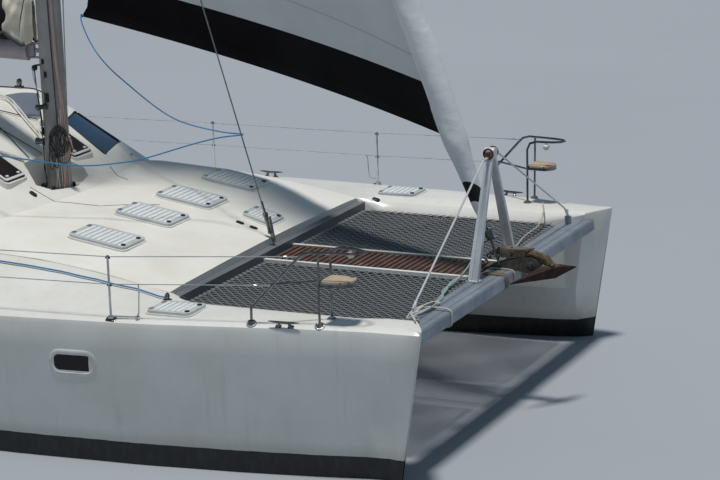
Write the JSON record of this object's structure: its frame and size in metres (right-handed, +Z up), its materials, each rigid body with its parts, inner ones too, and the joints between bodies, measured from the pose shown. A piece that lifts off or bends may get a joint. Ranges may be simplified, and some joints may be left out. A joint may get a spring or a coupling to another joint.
{
  "type": "sailing catamaran",
  "caption": "Cruising sailing catamaran with bow nets, partly furled headsail, bagged mainsail on a swinging boom, opening hatches, rudders and propellers.",
  "frame": {"origin": "amidships on the centreline, at the waterline", "axes": "+X towards the bows, +Y to port, +Z up"},
  "size_m": [13.725, 6.9764, 20.48],
  "materials": {
    "gelcoat": "weathered cream gelcoat",
    "bottom_paint": "matt black bottom paint",
    "bronze": "bronze, dulled",
    "net": "charcoal knotted net",
    "stainless": "polished stainless steel",
    "wire": "stainless wire rope",
    "tinted_glass": "tinted acrylic",
    "smoked_glass": "smoked acrylic",
    "alloy": "anodised aluminium, dulled",
    "teak": "weathered hardwood slats",
    "mast_alloy": "weathered grey aluminium",
    "sailcloth": "grey sailcloth",
    "canvas": "black canvas",
    "rusty_iron": "rusty iron",
    "rope": "blue braided rope",
    "hatch_lid": "pale grey with light bars"
  },
  "bodies": {
    "boat": {"hull_port": "gelcoat", "saildrive_port": "bottom_paint", "net_port": "net", "pulpit_port": "stainless", "lifelines_port": "stainless", "shroud_port": "wire", "side_window_port": "tinted_glass", "winch_port": "stainless", "front_window_port": "tinted_glass", "hull_starboard": "gelcoat", "saildrive_starboard": "bottom_paint", "net_starboard": "net", "pulpit_starboard": "stainless", "lifelines_starboard": "stainless", "shroud_starboard": "wire", "side_window_starboard": "tinted_glass", "winch_starboard": "stainless", "front_window_starboard": "tinted_glass", "bridgedeck": "gelcoat", "coachroof": "gelcoat", "cockpit_benches": "gelcoat", "cockpit_table": "gelcoat", "steering_stand": "gelcoat", "hard_top": "gelcoat", "crossbeam": "alloy", "aft_beam": "alloy", "a_frame": "alloy", "walkway": "teak", "mast": "mast_alloy", "inner_stay": "wire", "genoa": "sailcloth", "slack_sheet": "rope", "anchor": "rusty_iron", "anchor_roller": "stainless"},
    "boom": {"boom": "mast_alloy", "sail_bag": "canvas"},
    "rudder_port": {"rudder_port": "bottom_paint"},
    "propeller_port": {"propeller_port": "bronze"},
    "rudder_starboard": {"rudder_starboard": "bottom_paint"},
    "propeller_starboard": {"propeller_starboard": "bronze"},
    "steering_wheel": {"steering_wheel": "stainless"},
    "saloon_door": {"saloon_door": "tinted_glass"},
    "hatch_foredeck_outer_starboard": {"hatch_foredeck_outer_starboard": "hatch_lid"},
    "hatch_foredeck_inner_starboard": {"hatch_foredeck_inner_starboard": "hatch_lid"},
    "hatch_foredeck_inner_port": {"hatch_foredeck_inner_port": "hatch_lid"},
    "hatch_foredeck_outer_port": {"hatch_foredeck_outer_port": "hatch_lid"},
    "hatch_locker": {"hatch_locker": "hatch_lid"},
    "hatch_bow_port": {"hatch_bow_port": "hatch_lid"},
    "hatch_bow_starboard": {"hatch_bow_starboard": "hatch_lid"},
    "hatch_coachroof_port": {"hatch_coachroof_port": "smoked_glass"},
    "hatch_coachroof_starboard": {"hatch_coachroof_starboard": "smoked_glass"}
  },
  "joints": [
    {"name": "boom_swing", "type": "hinge", "parent": "boat", "child": "boom", "pos_m": [0.56, 0, 3.66], "axis": [0, 0, 1], "range_deg": [-60, 60]},
    {"name": "rudder_port_turn", "type": "hinge", "parent": "boat", "child": "rudder_port", "pos_m": [-5.65, 2.75, -0.3], "axis": [0, 0, 1], "range_deg": [-35, 35]},
    {"name": "propeller_port_spin", "type": "hinge", "parent": "boat", "child": "propeller_port", "pos_m": [-4.16, 2.75, -0.82], "axis": [1, 0, 0], "continuous": true},
    {"name": "rudder_starboard_turn", "type": "hinge", "parent": "boat", "child": "rudder_starboard", "pos_m": [-5.65, -2.75, -0.3], "axis": [0, 0, 1], "range_deg": [-35, 35]},
    {"name": "propeller_starboard_spin", "type": "hinge", "parent": "boat", "child": "propeller_starboard", "pos_m": [-4.16, -2.75, -0.82], "axis": [1, 0, 0], "continuous": true},
    {"name": "steering_wheel_turn", "type": "hinge", "parent": "boat", "child": "steering_wheel", "pos_m": [-3.72, -1.75, 1.95], "axis": [1, 0, 0], "range_deg": [-448, 448]},
    {"name": "saloon_door_slide", "type": "slide", "parent": "boat", "child": "saloon_door", "axis": [0, 1, 0], "range_m": [0, 1.1]},
    {"name": "hatch_foredeck_outer_starboard_lift", "type": "hinge", "parent": "boat", "child": "hatch_foredeck_outer_starboard", "pos_m": [1.99, -1.5, 1.985], "axis": [0, -1, 0], "range_deg": [0, 90]},
    {"name": "hatch_foredeck_inner_starboard_lift", "type": "hinge", "parent": "boat", "child": "hatch_foredeck_inner_starboard", "pos_m": [1.96, -0.46, 2.004], "axis": [0, -1, 0], "range_deg": [0, 90]},
    {"name": "hatch_foredeck_inner_port_lift", "type": "hinge", "parent": "boat", "child": "hatch_foredeck_inner_port", "pos_m": [1.96, 0.46, 2.004], "axis": [0, -1, 0], "range_deg": [0, 90]},
    {"name": "hatch_foredeck_outer_port_lift", "type": "hinge", "parent": "boat", "child": "hatch_foredeck_outer_port", "pos_m": [1.99, 1.5, 1.985], "axis": [0, -1, 0], "range_deg": [0, 90]},
    {"name": "hatch_locker_lift", "type": "hinge", "parent": "boat", "child": "hatch_locker", "pos_m": [3.01, 0.555, 1.815], "axis": [0, -1, 0], "range_deg": [0, 90]},
    {"name": "hatch_bow_port_lift", "type": "hinge", "parent": "boat", "child": "hatch_bow_port", "pos_m": [3.68, 2.8175, 1.607], "axis": [0, -1, 0], "range_deg": [0, 90]},
    {"name": "hatch_bow_starboard_lift", "type": "hinge", "parent": "boat", "child": "hatch_bow_starboard", "pos_m": [3.68, -2.8175, 1.607], "axis": [0, -1, 0], "range_deg": [0, 90]},
    {"name": "hatch_coachroof_port_lift", "type": "hinge", "parent": "boat", "child": "hatch_coachroof_port", "pos_m": [0.2, 0.73, 2.61], "axis": [0, -1, 0], "range_deg": [0, 90]},
    {"name": "hatch_coachroof_starboard_lift", "type": "hinge", "parent": "boat", "child": "hatch_coachroof_starboard", "pos_m": [0.2, -0.73, 2.61], "axis": [0, -1, 0], "range_deg": [0, 90]}
  ],
  "couplings": [
    {"joint": "rudder_port_turn", "follows": "rudder_starboard_turn", "ratio": 1},
    {"joint": "steering_wheel_turn", "follows": "rudder_starboard_turn", "ratio": 12.8}
  ]
}
